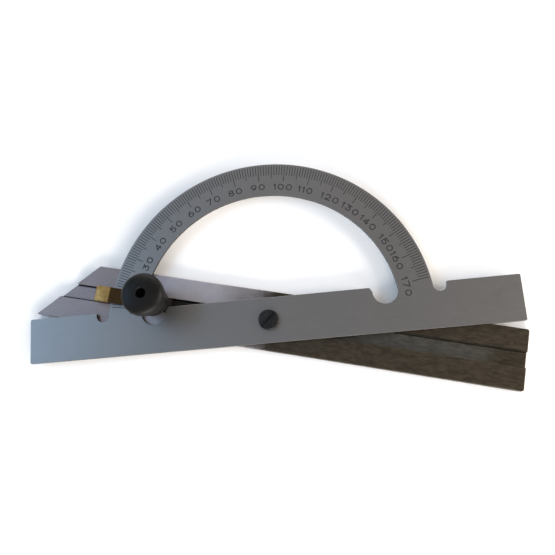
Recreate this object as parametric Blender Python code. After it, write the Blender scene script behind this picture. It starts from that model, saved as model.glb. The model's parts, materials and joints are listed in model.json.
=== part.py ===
"""Workshop protractor: a half-ring scale plate over a grooved blade that turns and slides behind it.

The origin is on the pivot axis, in the plane of the blade's back face. +X runs along the scale plate's
straight arm, +Y points to the crown of the half ring and +Z points to the reader. The blade and all
that turns with it are modelled in the blade's own frame, U along the blade and V across it, under one
empty on the pivot axis. Lengths in the constants below are millimetres; the objects are in metres.
"""

import bmesh
import bpy
from math import acos, asin, cos, degrees, pi, radians, sin, sqrt, tan

MM = 0.001

# Fits
GAP = 0.3                    # clearance between neighbouring pieces
OVERLAP = 1.0                # how far bodies that are joined run into each other
CUT_REACH = 2.0              # how far a cutter passes the surfaces that it cuts
REST_ANGLE = -14.0           # the blade at rest, in degrees from +X (a reading of 14 on the scale)

# Scale plate
PLATE_LENGTH = 300.0
PLATE_WIDTH = 27.8
PLATE_THICKNESS = 2.0
PLATE_CORNER = 1.6
RING_OUTER = 100.0
RING_INNER = 79.4
STUD_NOTCH_RADIUS = 7.6      # round bays inside the ring, room for the clamp's neck
STUD_NOTCH_HEIGHT = 11.2
STUD_NOTCH_MOUTH = 61.8
HEEL_NOTCH_RADIUS = 3.9      # round slots outside the ring, room for the clamp's heel
HEEL_NOTCH_HEIGHT = 12.0
HEEL_NOTCH_CHAMFER = 0.5
PIVOT_BORE_RADIUS = 4.25

# Blade
BLADE_LENGTH = 298.0
BLADE_WIDTH = 36.0
BLADE_THICKNESS = 5.0
BLADE_TIP = -147.0           # U of the sharp end of the slanted cut
TIP_CUT_ANGLE = 46.5         # between the slanted cut and the blade's edges
BLADE_CORNER = 0.8
GROOVE_WIDTH = 9.0           # at the blade's front face
GROOVE_DEPTH = 2.4
DOVETAIL_ANGLE = 60.0

# Pivot
PIVOT_SLIDER_LENGTH = 18.0
JOURNAL_RADIUS = 4.0
PIVOT_WASHER_RADIUS = 5.9
PIVOT_WASHER_THICKNESS = 0.4
PIVOT_SHANK_RADIUS = 2.5
PIVOT_HEAD_RADIUS = 6.15
PIVOT_HEAD_HEIGHT = 1.5
PIVOT_HEAD_DOME = 0.4
SCREW_SLOT_WIDTH = 1.6
SCREW_SLOT_DEPTH = 0.9
SCREW_SLOT_ANGLE = 42.0      # from +X
SCREW_EDGE = 0.3             # chamfer round the head

# Clamp
CLAMP_RADIUS = 71.65         # distance of the clamp stud from the pivot
CLAMP_SLIDER_LENGTH = 18.0
NECK_RADIUS = 4.25
STUD_RADIUS = 3.0
STUD_CHAMFER = 0.6
BRIDGE_WIDTH = 9.4
BRIDGE_THICKNESS = 2.6
BRIDGE_INNER_REACH = 7.0     # how far the bridge passes the stud, towards the pivot
RAMP_START = 92.5            # distances from the pivot
HEEL_INNER = 100.6
HEEL_OUTER = 110.2
HEEL_HEIGHT = 3.7            # above the bridge's underside
HEEL_CHAMFER = 1.5
TONGUE_WIDTH = 8.4
CLAMP_WASHER_RADIUS = 7.6
CLAMP_WASHER_THICKNESS = 0.8

# Knob
KNOB_HUB_RADIUS = 9.3
KNOB_RIM_RADIUS = 12.7
KNOB_HEIGHT = 26.7
KNOB_HUB_HEIGHT = 5.0
KNOB_RIM_HEIGHT = 21.4       # height of the widest ring above the knob's underside
KNOB_FOOT_CHAMFER = 0.5
CROWN_FULLNESS = 2.6         # 2 is a quarter oval; more fills the crown's shoulder out
KNOB_EYE_RADIUS = 3.0        # open eye in the crown
KNOB_EYE_LIP = 0.5
KNOB_SHOULDER = 2.0          # solid ring between the bush's pocket and the eye
INSERT_RADIUS = 5.0
INSERT_HEIGHT = 14.0
STUD_TOP_ABOVE_INSERT = 1.0

# Levels along Z
FLOOR_Z = BLADE_THICKNESS - GROOVE_DEPTH
PLATE_Z = BLADE_THICKNESS + GAP
FRONT_Z = PLATE_Z + PLATE_THICKNESS
BRIDGE_Z = FRONT_Z + GAP
CLAMP_WASHER_Z = BRIDGE_Z + BRIDGE_THICKNESS + GAP
KNOB_Z = CLAMP_WASHER_Z + CLAMP_WASHER_THICKNESS + GAP
PIVOT_WASHER_Z = FRONT_Z + GAP
PIVOT_HEAD_Z = PIVOT_WASHER_Z + PIVOT_WASHER_THICKNESS + GAP

STEEL = {"base": (0.42, 0.44, 0.46), "rough": 0.38, "metal": 1.0}
DARK_STEEL = {"base": (0.05, 0.05, 0.05), "rough": 0.45, "metal": 0.8}
BLADE_STEEL = {"base": (0.30, 0.26, 0.24), "rough": 0.45, "metal": 1.0}
BRASS = {"base": (0.62, 0.44, 0.18), "rough": 0.35, "metal": 1.0}
ZINC = {"base": (0.55, 0.55, 0.53), "rough": 0.4, "metal": 1.0}
PHENOLIC = {"base": (0.015, 0.015, 0.016), "rough": 0.35, "metal": 0.0}


# ---------------------------------------------------------------- general helpers

def clear_objects():
    """Remove whatever objects the open file holds."""
    for item in list(bpy.data.objects):
        bpy.data.objects.remove(item, do_unlink=True)


def make_material(name, finish):
    """A Principled material from one of the finishes above."""
    material = bpy.data.materials.new(name)
    material.use_nodes = True
    shader = material.node_tree.nodes["Principled BSDF"]
    shader.inputs["Base Color"].default_value = (*finish["base"], 1.0)
    shader.inputs["Roughness"].default_value = finish["rough"]
    shader.inputs["Metallic"].default_value = finish["metal"]
    material.diffuse_color = (*finish["base"], 1.0)
    return material


def make_axis(name, location, turn=0.0, parent=None):
    """An empty on a joint's axis, turned about Z by a number of degrees."""
    axis = bpy.data.objects.new(name, None)
    axis.empty_display_size = 10 * MM
    axis.location = [value * MM for value in location]
    axis.rotation_euler[2] = radians(turn)
    axis.parent = parent
    bpy.context.scene.collection.objects.link(axis)
    return axis


def make_object(name, mesh_builder, finish=None, parent=None, smooth=False):
    """Turn a bmesh in millimetres into an object in metres."""
    bmesh.ops.recalc_face_normals(mesh_builder, faces=mesh_builder.faces)
    bmesh.ops.scale(mesh_builder, vec=(MM, MM, MM), verts=mesh_builder.verts)
    mesh = bpy.data.meshes.new(name)
    mesh_builder.to_mesh(mesh)
    mesh_builder.free()
    if smooth:
        mesh.shade_smooth()
        mesh.set_sharp_from_angle(angle=radians(32))
    item = bpy.data.objects.new(name, mesh)
    if finish:
        mesh.materials.append(make_material(name, finish))
    item.parent = parent
    bpy.context.scene.collection.objects.link(item)
    return item


def shape(target, operation, tool):
    """Join a tool body to the target, or cut it out of the target, and hide the tool."""
    modifier = target.modifiers.new(tool.name, "BOOLEAN")
    modifier.operation = operation
    modifier.object = tool
    modifier.solver = "EXACT"
    tool.hide_render = True
    tool.display_type = "WIRE"


def arc(centre, radius, start, end, steps):
    """Points on a circular arc between two angles in degrees, both ends included."""
    turns = [radians(start + (end - start) * step / steps) for step in range(steps + 1)]
    return [(centre[0] + radius * cos(turn), centre[1] + radius * sin(turn)) for turn in turns]


def mirrored(points):
    """A right half outline, crown to foot, followed by its mirror image, foot to crown."""
    return points + [(-x, y) for x, y in reversed(points) if abs(x) > 1e-6]


def prism(outline, low, high):
    """An outline in the XY plane extruded from one level to another."""
    body = bmesh.new()
    face = body.faces.new([body.verts.new((x, y, low)) for x, y in outline])
    sides = bmesh.ops.extrude_face_region(body, geom=[face])["geom"]
    raised = [part for part in sides if isinstance(part, bmesh.types.BMVert)]
    bmesh.ops.translate(body, vec=(0, 0, high - low), verts=raised)
    return body


def turned(profile, segments, centre=(0.0, 0.0), closed=True):
    """A profile of (radius, height) points spun round a vertical axis.

    A closed profile gives a ring with a hole; an open one starts and ends on the axis.
    """
    body = bmesh.new()
    verts = [body.verts.new((radius, 0, height)) for radius, height in profile]
    pairs = list(zip(verts, verts[1:])) + ([(verts[-1], verts[0])] if closed else [])
    edges = [body.edges.new(pair) for pair in pairs]
    bmesh.ops.spin(body, geom=verts + edges, cent=(0, 0, 0), axis=(0, 0, 1), angle=2 * pi,
                   steps=segments, use_merge=True)
    bmesh.ops.remove_doubles(body, verts=body.verts, dist=1e-4)
    bmesh.ops.translate(body, vec=(centre[0], centre[1], 0), verts=body.verts)
    return body


def cylinder(radius, low, high, segments=48, centre=(0.0, 0.0)):
    """A plain round bar between two levels."""
    return turned([(0, low), (radius, low), (radius, high), (0, high)], segments, centre, closed=False)


# ---------------------------------------------------------------- scale plate

def plate_outline():
    """Outer edge of the scale plate: half ring, heel slots and straight arm."""
    half_length = PLATE_LENGTH / 2
    half_width = PLATE_WIDTH / 2
    # The slot's circle touches the ring's outer circle from outside.
    slot_reach = RING_OUTER + HEEL_NOTCH_RADIUS
    slot_angle = asin(HEEL_NOTCH_HEIGHT / slot_reach)
    slot = (slot_reach * cos(slot_angle), HEEL_NOTCH_HEIGHT)
    wall = slot[0] + HEEL_NOTCH_RADIUS
    corner = half_length - PLATE_CORNER
    edge = half_width - PLATE_CORNER
    right = arc((0, 0), RING_OUTER, 90, degrees(slot_angle), 56)
    right += arc(slot, HEEL_NOTCH_RADIUS, 180 + degrees(slot_angle), 360, 16)[1:]
    right += [(wall, half_width - HEEL_NOTCH_CHAMFER), (wall + HEEL_NOTCH_CHAMFER, half_width)]
    right += arc((corner, edge), PLATE_CORNER, 90, 0, 4)
    right += arc((corner, -edge), PLATE_CORNER, 0, -90, 4)
    return mirrored(right)


def window_outline():
    """The open half disc inside the ring, with a round bay at each foot of the ring."""
    half_width = PLATE_WIDTH / 2
    # The bay's circle touches the ring's inner circle from inside.
    bay_reach = RING_INNER - STUD_NOTCH_RADIUS
    bay_angle = degrees(asin(STUD_NOTCH_HEIGHT / bay_reach))
    bay = (sqrt(bay_reach ** 2 - STUD_NOTCH_HEIGHT ** 2), STUD_NOTCH_HEIGHT)
    right = arc((0, 0), RING_INNER, 90, bay_angle, 52)
    right += arc(bay, STUD_NOTCH_RADIUS, bay_angle, -180, 22)[1:]
    right += [(STUD_NOTCH_MOUTH, half_width)]
    return mirrored(right)


def build_scale_plate():
    """Arm and half ring cut from one sheet, with the pivot bore."""
    plate = make_object("scale_plate", prism(plate_outline(), PLATE_Z, FRONT_Z), STEEL)
    through = (PLATE_Z - CUT_REACH, FRONT_Z + CUT_REACH)
    window = make_object("window_cutter", prism(window_outline(), *through))
    bore = make_object("bore_cutter", cylinder(PIVOT_BORE_RADIUS, *through, 64))
    shape(plate, "DIFFERENCE", window)
    shape(plate, "DIFFERENCE", bore)


# ---------------------------------------------------------------- blade

def groove_half_width(height):
    """Half the dovetail groove's width at a height above the blade's back face."""
    return GROOVE_WIDTH / 2 + (BLADE_THICKNESS - height) / tan(radians(DOVETAIL_ANGLE))


def blade_section():
    """The blade's cross-section as (V, Z) points, the groove in its front face."""
    edge = BLADE_WIDTH / 2
    floor = groove_half_width(FLOOR_Z)
    mouth = GROOVE_WIDTH / 2
    return [(-edge, 0), (edge, 0), (edge, BLADE_THICKNESS), (mouth, BLADE_THICKNESS),
            (floor, FLOOR_Z), (-floor, FLOOR_Z), (-mouth, BLADE_THICKNESS), (-edge, BLADE_THICKNESS)]


def build_blade(axis):
    """A flat bar with a dovetail groove down its middle and one end cut at a slant."""
    edge = BLADE_WIDTH / 2
    end = BLADE_TIP + BLADE_LENGTH
    body = bmesh.new()

    def ring(place):
        """One closed loop of vertices round the section; place gives each vertex its U and V."""
        return [body.verts.new((*place(v), z)) for v, z in blade_section()]

    def narrowed(v):
        """The section's outer sides drawn in at the square end's small chamfers."""
        return max(-edge + BLADE_CORNER, min(edge - BLADE_CORNER, v))

    rings = [ring(lambda v: (BLADE_TIP + (v + edge) / tan(radians(TIP_CUT_ANGLE)), v)),
             ring(lambda v: (end - BLADE_CORNER, v)),
             ring(lambda v: (end, narrowed(v)))]
    for near, far in zip(rings, rings[1:]):
        for index in range(len(near)):
            after = (index + 1) % len(near)
            body.faces.new((near[index], near[after], far[after], far[index]))
    body.faces.new(rings[0])
    body.faces.new(rings[-1])
    make_object("blade", body, BLADE_STEEL, axis)


# ---------------------------------------------------------------- pieces in the groove

def dovetail_block(centre, length):
    """A bar that fills the groove with clearance all round, as a bmesh along U."""
    low = FLOOR_Z + GAP
    high = BLADE_THICKNESS - GAP
    side_gap = GAP / sin(radians(DOVETAIL_ANGLE))
    wide = groove_half_width(low) - side_gap
    narrow = groove_half_width(high) - side_gap
    section = [(-wide, low), (wide, low), (narrow, high), (-narrow, high)]
    body = bmesh.new()
    near = [body.verts.new((centre - length / 2, v, z)) for v, z in section]
    far = [body.verts.new((centre + length / 2, v, z)) for v, z in section]
    for index in range(4):
        after = (index + 1) % 4
        body.faces.new((near[index], near[after], far[after], far[index]))
    body.faces.new(near)
    body.faces.new(far)
    return body


def build_sliding_block(name, axis, centre, length, boss_radius, boss_top, hole_radius):
    """A dovetail block with a round boss on it and a hole down through both."""
    place = (centre, 0.0)
    block = make_object(name, dovetail_block(centre, length), STEEL, axis)
    boss = make_object(name + "_boss", cylinder(boss_radius, FLOOR_Z + 2 * GAP, boss_top, 48, place),
                       parent=axis)
    hole = make_object(name + "_hole", cylinder(hole_radius, 0, boss_top + CUT_REACH, 48, place), parent=axis)
    shape(block, "UNION", boss)
    shape(block, "DIFFERENCE", hole)


def build_pivot(axis):
    """The block that the plate turns on, the thin spring washer and the slotted screw."""
    build_sliding_block("pivot_slider", axis, 0.0, PIVOT_SLIDER_LENGTH, JOURNAL_RADIUS,
                        FRONT_Z - GAP / 2, PIVOT_SHANK_RADIUS + GAP)

    washer_top = PIVOT_WASHER_Z + PIVOT_WASHER_THICKNESS
    bore = PIVOT_SHANK_RADIUS + GAP
    section = [(bore, PIVOT_WASHER_Z), (PIVOT_WASHER_RADIUS, PIVOT_WASHER_Z),
               (PIVOT_WASHER_RADIUS, washer_top), (bore, washer_top)]
    make_object("pivot_washer", turned(section, 48), ZINC, axis, smooth=True)

    rim = PIVOT_HEAD_Z + PIVOT_HEAD_HEIGHT
    section = [(0, FLOOR_Z + 2 * GAP), (PIVOT_SHANK_RADIUS, FLOOR_Z + 2 * GAP),
               (PIVOT_SHANK_RADIUS, PIVOT_HEAD_Z), (PIVOT_HEAD_RADIUS, PIVOT_HEAD_Z),
               (PIVOT_HEAD_RADIUS, rim - SCREW_EDGE)]
    # The dome falls from its middle with the square of the radius.
    dome_steps = 4
    for step in range(dome_steps + 1):
        radius = (PIVOT_HEAD_RADIUS - SCREW_EDGE) * (1 - step / dome_steps)
        section.append((radius, rim + PIVOT_HEAD_DOME * (1 - (radius / PIVOT_HEAD_RADIUS) ** 2)))
    screw = make_object("pivot_screw", turned(section, 48, closed=False), DARK_STEEL, axis, smooth=True)
    slot = bmesh.new()
    bmesh.ops.create_cube(slot, size=1.0)
    length = 4 * PIVOT_HEAD_RADIUS
    bmesh.ops.scale(slot, vec=(length, SCREW_SLOT_WIDTH, 2 * SCREW_SLOT_DEPTH), verts=slot.verts)
    bmesh.ops.translate(slot, vec=(0, 0, rim + PIVOT_HEAD_DOME), verts=slot.verts)
    cutter = make_object("screw_slot_cutter", slot, parent=axis)
    cutter.rotation_euler[2] = radians(SCREW_SLOT_ANGLE - REST_ANGLE)
    shape(screw, "DIFFERENCE", cutter)


def bridge_side():
    """Side view of the clamp bridge as (U, Z): flat over the ring, a ramp and the deep heel."""
    top = BRIDGE_Z + BRIDGE_THICKNESS
    heel_top = BRIDGE_Z + HEEL_HEIGHT
    return [(-CLAMP_RADIUS, BRIDGE_Z), (-HEEL_INNER, BRIDGE_Z), (-HEEL_INNER, FRONT_Z),
            (-HEEL_OUTER, FRONT_Z), (-HEEL_OUTER, heel_top - HEEL_CHAMFER),
            (-HEEL_OUTER + HEEL_CHAMFER, heel_top), (-HEEL_INNER, heel_top),
            (-RAMP_START, top), (-CLAMP_RADIUS, top)]


def across(side, width):
    """A side view in the UZ plane extruded to a width along V, centred on the blade's middle line."""
    body = bmesh.new()
    face = body.faces.new([body.verts.new((u, -width / 2, z)) for u, z in side])
    sides = bmesh.ops.extrude_face_region(body, geom=[face])["geom"]
    raised = [part for part in sides if isinstance(part, bmesh.types.BMVert)]
    bmesh.ops.translate(body, vec=(0, width, 0), verts=raised)
    return body


def build_clamp(axis):
    """The block in the groove, its stud, the bridge over the ring and the washer on the bridge."""
    stud = (-CLAMP_RADIUS, 0.0)
    build_sliding_block("clamp_slider", axis, -CLAMP_RADIUS, CLAMP_SLIDER_LENGTH, NECK_RADIUS,
                        FRONT_Z, STUD_RADIUS + GAP)

    stud_top = KNOB_Z + INSERT_HEIGHT + STUD_TOP_ABOVE_INSERT
    section = [(0, FLOOR_Z + 2 * GAP), (STUD_RADIUS, FLOOR_Z + 2 * GAP),
               (STUD_RADIUS, stud_top - STUD_CHAMFER), (STUD_RADIUS - STUD_CHAMFER, stud_top), (0, stud_top)]
    make_object("clamp_stud", turned(section, 40, stud, closed=False), ZINC, axis, smooth=True)

    bridge = make_object("clamp_bridge", across(bridge_side(), BRIDGE_WIDTH), BRASS, axis)
    bar_top = BRIDGE_Z + BRIDGE_THICKNESS
    nose_middle = -CLAMP_RADIUS + BRIDGE_INNER_REACH - BRIDGE_WIDTH / 2
    nose_side = [(nose_middle, BRIDGE_Z), (-CLAMP_RADIUS - OVERLAP, BRIDGE_Z),
                 (-CLAMP_RADIUS - OVERLAP, bar_top), (nose_middle, bar_top)]
    nose = make_object("bridge_nose", across(nose_side, BRIDGE_WIDTH), parent=axis)
    nose_end = make_object("bridge_nose_end", cylinder(
        BRIDGE_WIDTH / 2, BRIDGE_Z, bar_top, 48, (nose_middle, 0.0)), parent=axis)
    tongue_side = [(-HEEL_INNER, FLOOR_Z + GAP), (-HEEL_OUTER, FLOOR_Z + GAP),
                   (-HEEL_OUTER, FRONT_Z + OVERLAP), (-HEEL_INNER, FRONT_Z + OVERLAP)]
    tongue = make_object("bridge_tongue", across(tongue_side, TONGUE_WIDTH), parent=axis)
    hole = make_object("bridge_hole", cylinder(STUD_RADIUS + GAP, 0, bar_top + CUT_REACH, 48, stud),
                       parent=axis)
    shape(bridge, "UNION", nose)
    shape(bridge, "UNION", nose_end)
    shape(bridge, "UNION", tongue)
    shape(bridge, "DIFFERENCE", hole)


# ---------------------------------------------------------------- knob

def knob_profile():
    """Outside and bore of the knob as closed (radius, height) points, from the bore's foot outwards."""
    bore = INSERT_RADIUS + GAP
    floor = KNOB_Z + INSERT_HEIGHT + GAP
    top = KNOB_Z + KNOB_HEIGHT
    rim = KNOB_Z + KNOB_RIM_HEIGHT
    points = [(bore, KNOB_Z), (KNOB_HUB_RADIUS - KNOB_FOOT_CHAMFER, KNOB_Z),
              (KNOB_HUB_RADIUS, KNOB_Z + KNOB_FOOT_CHAMFER), (KNOB_HUB_RADIUS, KNOB_Z + KNOB_HUB_HEIGHT)]
    # The waist swells to the rim along half a cosine wave.
    waist_steps = 8
    for step in range(1, waist_steps + 1):
        share = step / waist_steps
        radius = KNOB_HUB_RADIUS + (KNOB_RIM_RADIUS - KNOB_HUB_RADIUS) * (1 - cos(pi * share)) / 2
        points.append((radius, KNOB_Z + KNOB_HUB_HEIGHT + (rim - KNOB_Z - KNOB_HUB_HEIGHT) * share))
    # The crown is a full-shouldered quarter oval from the rim to the eye.
    crown_steps = 10
    power = 2 / CROWN_FULLNESS
    end_turn = acos(((KNOB_EYE_RADIUS + KNOB_EYE_LIP) / KNOB_RIM_RADIUS) ** (1 / power))
    for step in range(1, crown_steps + 1):
        turn = end_turn * step / crown_steps
        points.append((KNOB_RIM_RADIUS * cos(turn) ** power, rim + (top - rim) * sin(turn) ** power))
    crown_edge = points[-1][1]
    shoulder = floor + KNOB_SHOULDER
    points += [(KNOB_EYE_RADIUS, crown_edge - KNOB_EYE_LIP), (KNOB_EYE_RADIUS, shoulder),
               (STUD_RADIUS + GAP, shoulder), (STUD_RADIUS + GAP, floor), (bore, floor)]
    return points


def build_knob(parent):
    """The washer under the knob, the moulded knob and the threaded bush moulded into it."""
    top = CLAMP_WASHER_Z + CLAMP_WASHER_THICKNESS
    bore = STUD_RADIUS + GAP
    section = [(bore, CLAMP_WASHER_Z), (CLAMP_WASHER_RADIUS, CLAMP_WASHER_Z),
               (CLAMP_WASHER_RADIUS, top), (bore, top)]
    make_object("clamp_washer", turned(section, 48), ZINC, parent, smooth=True)

    make_object("knob", turned(knob_profile(), 64), PHENOLIC, parent, smooth=True)

    section = [(bore, KNOB_Z), (INSERT_RADIUS, KNOB_Z), (INSERT_RADIUS, KNOB_Z + INSERT_HEIGHT),
               (bore, KNOB_Z + INSERT_HEIGHT)]
    make_object("knob_insert", turned(section, 40), BRASS, parent, smooth=True)


def main():
    """Build the protractor at its rest reading."""
    clear_objects()
    build_scale_plate()
    pivot_axis = make_axis("pivot_axis", (0, 0, 0), REST_ANGLE)
    build_blade(pivot_axis)
    build_pivot(pivot_axis)
    build_clamp(pivot_axis)
    knob_axis = make_axis("knob_axis", (-CLAMP_RADIUS, 0, 0), parent=pivot_axis)
    build_knob(knob_axis)


main()
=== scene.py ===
"""Looks of a workshop protractor: a half-ring degree scale on an arm, over a grooved sliding blade.

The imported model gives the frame: bodies, joints and the boxes of the plain solids. Shapes are
worked out in millimetres on numpy grids and scaled to metres when a mesh is made. Pieces that turn
with the blade are drawn in the blade's own frame, U along the blade and V across it, and then
turned to the blade's rest angle.
"""

import json
import logging
import math
from dataclasses import dataclass, field
from enum import Enum
from typing import Callable, Sequence

import bmesh
import bpy
import numpy as np
from mathutils import Matrix, Vector


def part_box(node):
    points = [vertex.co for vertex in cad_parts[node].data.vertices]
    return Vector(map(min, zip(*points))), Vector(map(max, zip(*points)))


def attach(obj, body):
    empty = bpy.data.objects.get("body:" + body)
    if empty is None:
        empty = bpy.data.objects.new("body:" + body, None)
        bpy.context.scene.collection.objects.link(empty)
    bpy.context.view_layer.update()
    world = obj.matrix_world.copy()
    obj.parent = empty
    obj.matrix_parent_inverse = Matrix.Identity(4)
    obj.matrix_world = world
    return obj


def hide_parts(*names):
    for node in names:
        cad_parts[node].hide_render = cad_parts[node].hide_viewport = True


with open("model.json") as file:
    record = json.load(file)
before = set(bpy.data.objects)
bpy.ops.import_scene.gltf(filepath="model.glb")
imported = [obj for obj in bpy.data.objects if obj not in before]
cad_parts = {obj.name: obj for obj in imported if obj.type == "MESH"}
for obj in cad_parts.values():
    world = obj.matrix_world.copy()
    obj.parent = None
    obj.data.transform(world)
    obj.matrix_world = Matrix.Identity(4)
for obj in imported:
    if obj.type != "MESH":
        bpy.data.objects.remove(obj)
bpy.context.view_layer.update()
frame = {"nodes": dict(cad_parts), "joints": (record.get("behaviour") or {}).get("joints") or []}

MM = 0.001
PER_MM = 1000.0         # noise scale that gives one cell to each millimetre
SMOOTH_BELOW = 20.0     # faces that meet at less than this, in degrees, are shaded as one
GAP = 0.3               # clearance between neighbouring pieces, in millimetres
ON_AXIS = 1e-6          # a smaller radius is a pole
WELD_DIGITS = 5         # places kept when points are welded, in millimetres
PLATE_WELD_DIGITS = 4   # the same for the plate's outline
log = logging.getLogger("protractor")

Colour = tuple[float, float, float]


class Body(Enum):
    """The moving bodies of the frame that the pieces ride on."""

    SCALE = "scale"
    CARRIER = "carrier"
    BLADE = "blade"
    KNOB_FOOT = "knob_foot"
    KNOB = "knob"


class Slot(Enum):
    """Names of the record's material slots."""

    SCALE_STEEL = "scale_steel"
    BLADE_STEEL = "blade_steel"
    WASHER_STEEL = "washer_steel"
    BLACK_STEEL = "black_steel"
    BRASS = "brass"
    PHENOLIC = "black_phenolic"


class Effect(Enum):
    """Surface effects that several finishes share, each one a shader node group."""

    BRUSHING = "brushing"
    BLOTCHES = "blotches"
    SCRATCHES = "scratches"


# ------------------------------------------------------------------ surfaces


@dataclass
class Shell:
    """Points and faces of one surface, in millimetres.

    Faces are lists of point numbers, so a cap may have more corners than four.
    """

    points: np.ndarray
    faces: list[list[int]]

    def joined(self, other: "Shell") -> "Shell":
        """Both shells as one list of points and faces."""
        moved = [[index + len(self.points) for index in face] for face in other.faces]
        return Shell(np.vstack([self.points, other.points]), self.faces + moved)

    def turned(self, degrees: float) -> "Shell":
        """The shell turned about the Z axis.

        Args:
            degrees: the angle, from +X towards +Y.

        Returns:
            A new shell with the same faces.
        """
        turn = math.radians(degrees)
        spin = np.array([[math.cos(turn), -math.sin(turn), 0.0],
                         [math.sin(turn), math.cos(turn), 0.0],
                         [0.0, 0.0, 1.0]])
        return Shell(self.points @ spin.T, self.faces)

    def moved(self, x: float, y: float = 0.0) -> "Shell":
        """The shell shifted along X and Y."""
        return Shell(self.points + np.array([x, y, 0.0]), self.faces)

    def welded(self, digits: int = WELD_DIGITS) -> "Shell":
        """The shell with points that share a place made one point.

        Args:
            digits: decimal places by which places are compared.

        Returns:
            A new shell, without the faces that shrink to a line.
        """
        _, first, new = np.unique(np.round(self.points, digits), axis=0,
                                  return_index=True, return_inverse=True)
        new = new.reshape(-1)
        faces = []
        for face in self.faces:
            corners = [int(new[index]) for index in face]
            kept = [c for place, c in enumerate(corners) if c != corners[place - 1]]
            if len(kept) > 2:
                faces.append(kept)
        return Shell(self.points[first], faces)


def grid_faces(rows: int, columns: int, loop_rows: bool = False,
               loop_columns: bool = False) -> list[list[int]]:
    """Four-cornered faces between neighbours of a grid of points.

    Args:
        rows: number of points along the first parameter.
        columns: number of points along the second parameter.
        loop_rows: the last row meets the first again.
        loop_columns: the last column meets the first again.

    Returns:
        Faces as lists of four point numbers.
    """
    row = np.arange(rows if loop_rows else rows - 1)
    column = np.arange(columns if loop_columns else columns - 1)
    i, j = np.meshgrid(row, column, indexing="ij")
    after_i, after_j = (i + 1) % rows, (j + 1) % columns
    faces = np.stack([i * columns + j, after_i * columns + j,
                      after_i * columns + after_j, i * columns + after_j], axis=-1)
    return faces.reshape(-1, 4).tolist()


def arc(centre: Sequence[float], radius: float | Sequence[float], start: float, end: float,
        count: int) -> np.ndarray:
    """Points centre + (rx cos a, ry sin a) for evenly spaced angles a.

    Args:
        centre: the arc's (x, y) centre.
        radius: one radius, or the two of an oval.
        start: the first angle, in degrees.
        end: the last angle, in degrees.
        count: number of points.

    Returns:
        An array of (x, y) points.
    """
    radius_x, radius_y = np.broadcast_to(radius, 2)
    turn = np.radians(np.linspace(start, end, count))
    return np.stack([centre[0] + radius_x * np.cos(turn),
                     centre[1] + radius_y * np.sin(turn)], axis=1)


def line(start: Sequence[float], end: Sequence[float], count: int) -> np.ndarray:
    """Evenly spaced points from one place to another, both included."""
    share = np.linspace(0.0, 1.0, count)[:, None]
    return np.asarray(start) * (1 - share) + np.asarray(end) * share


def at_height(flat: np.ndarray, height: float) -> np.ndarray:
    """Flat (x, y) points given one height."""
    return np.column_stack([flat, np.full(len(flat), height)])


def ruled(near: np.ndarray, far: np.ndarray, rows: int, height: float) -> Shell:
    """A flat ruled patch: point(s, t) = (1 - t) near(s) + t far(s), at one height.

    Args:
        near: points of one edge, in order.
        far: as many points of the opposite edge.
        rows: number of points across, along t.
        height: the patch's Z.

    Returns:
        The patch, open all round.
    """
    share = np.linspace(0.0, 1.0, rows)[None, :, None]
    flat = near[:, None, :] * (1 - share) + far[:, None, :] * share
    return Shell(at_height(flat.reshape(-1, 2), height), grid_faces(len(near), rows))


def revolved(profile: np.ndarray, segments: int, closed: bool,
             swell: Callable[[np.ndarray, np.ndarray], np.ndarray] | None = None) -> Shell:
    """A profile turned round the Z axis: point(a, s) = (r(s) cos a, r(s) sin a, z(s)).

    Args:
        profile: (radius, height) points. A closed one is a ring's section; an open one runs from
            the axis to the axis, and its two end points become poles.
        segments: number of steps round.
        closed: whether the profile is a closed section.
        swell: adds to the radius; takes the grids of angle and height and returns a grid.

    Returns:
        A closed shell.
    """
    angle = np.linspace(0.0, 2 * np.pi, segments, endpoint=False)
    turn, _ = np.meshgrid(angle, profile[:, 0], indexing="ij")
    radius = np.broadcast_to(profile[:, 0], turn.shape)
    height = np.broadcast_to(profile[:, 1], turn.shape)
    if swell is not None:
        radius = radius + np.where(radius > ON_AXIS, swell(turn, height), 0.0)
    points = np.stack([radius * np.cos(turn), radius * np.sin(turn), height], axis=-1)
    faces = grid_faces(segments, len(profile), True, closed)
    return Shell(points.reshape(-1, 3), faces).welded()


def ring_section(inner: float, outer: float, low: float, high: float, soft: float) -> np.ndarray:
    """A ring's closed section with rounded corners.

    Args:
        inner: the ring's inner radius.
        outer: its outer radius.
        low: height of its lower face.
        high: height of its upper face.
        soft: radius of the rounded corners.

    Returns:
        An array of (radius, height) points.
    """
    corners = [((inner + soft, low + soft), 180), ((outer - soft, low + soft), 270),
               ((outer - soft, high - soft), 0), ((inner + soft, high - soft), 90)]
    return np.vstack([arc(centre, soft, start, start + 90, 4) for centre, start in corners])


def round_cutter(radius: float, low: float, high: float) -> Shell:
    """A plain cylinder on the Z axis between two heights, to drill with."""
    profile = np.array([[0, low], [radius, low], [radius, high], [0, high]])
    return revolved(profile, 64, False)


def lofted(rings: Sequence[np.ndarray]) -> Shell:
    """A skin over a row of rings that have equally many points, with a flat cap at each end.

    The point (i, j) of the grid is point j of ring i, and the rings close on themselves.

    Args:
        rings: arrays of (x, y, z) points, in order along the piece.

    Returns:
        A closed shell.
    """
    count = len(rings[0])
    faces = grid_faces(len(rings), count, False, True)
    last = (len(rings) - 1) * count
    caps = [list(range(count))[::-1], list(range(last, last + count))]
    return Shell(np.vstack(rings), faces + caps).welded()


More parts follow.
